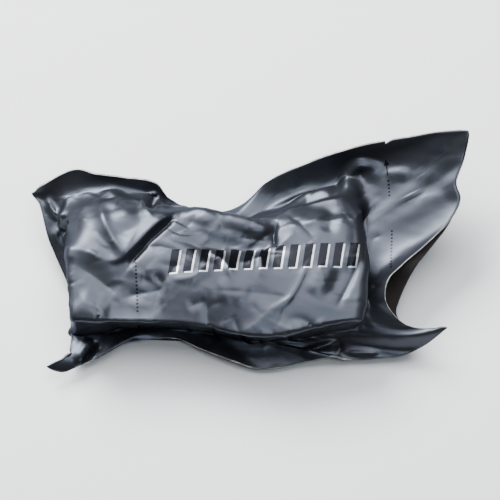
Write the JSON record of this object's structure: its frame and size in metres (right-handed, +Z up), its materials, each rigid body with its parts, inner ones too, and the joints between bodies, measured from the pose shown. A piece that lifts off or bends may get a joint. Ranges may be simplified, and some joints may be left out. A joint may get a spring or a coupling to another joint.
{
  "type": "emergency trauma bandage in a vacuum-sealed foil pouch",
  "caption": "Rolled trauma bandage shrink-sealed between two dark foil films, with creased free margins, a parted mouth end and a tear notch.",
  "frame": {"origin": "on the table, under the middle of the whole pouch's box", "axes": "+X along the roll towards the open mouth end, +Y from the near side to the far side, +Z up from the table"},
  "size_m": [0.2264, 0.1206, 0.0447],
  "materials": {
    "front_foil": "dark slate foil laminate, satin with a metallic sheen, finely creased",
    "back_foil": "dark slate foil laminate, a little duller than the front",
    "bandage_cloth": "matt woven elastic bandage, tightly rolled and pressed"
  },
  "bodies": {
    "root": {"front_film": "front_foil", "back_film": "back_foil", "bandage_roll": "bandage_cloth"}
  },
  "joints": []
}
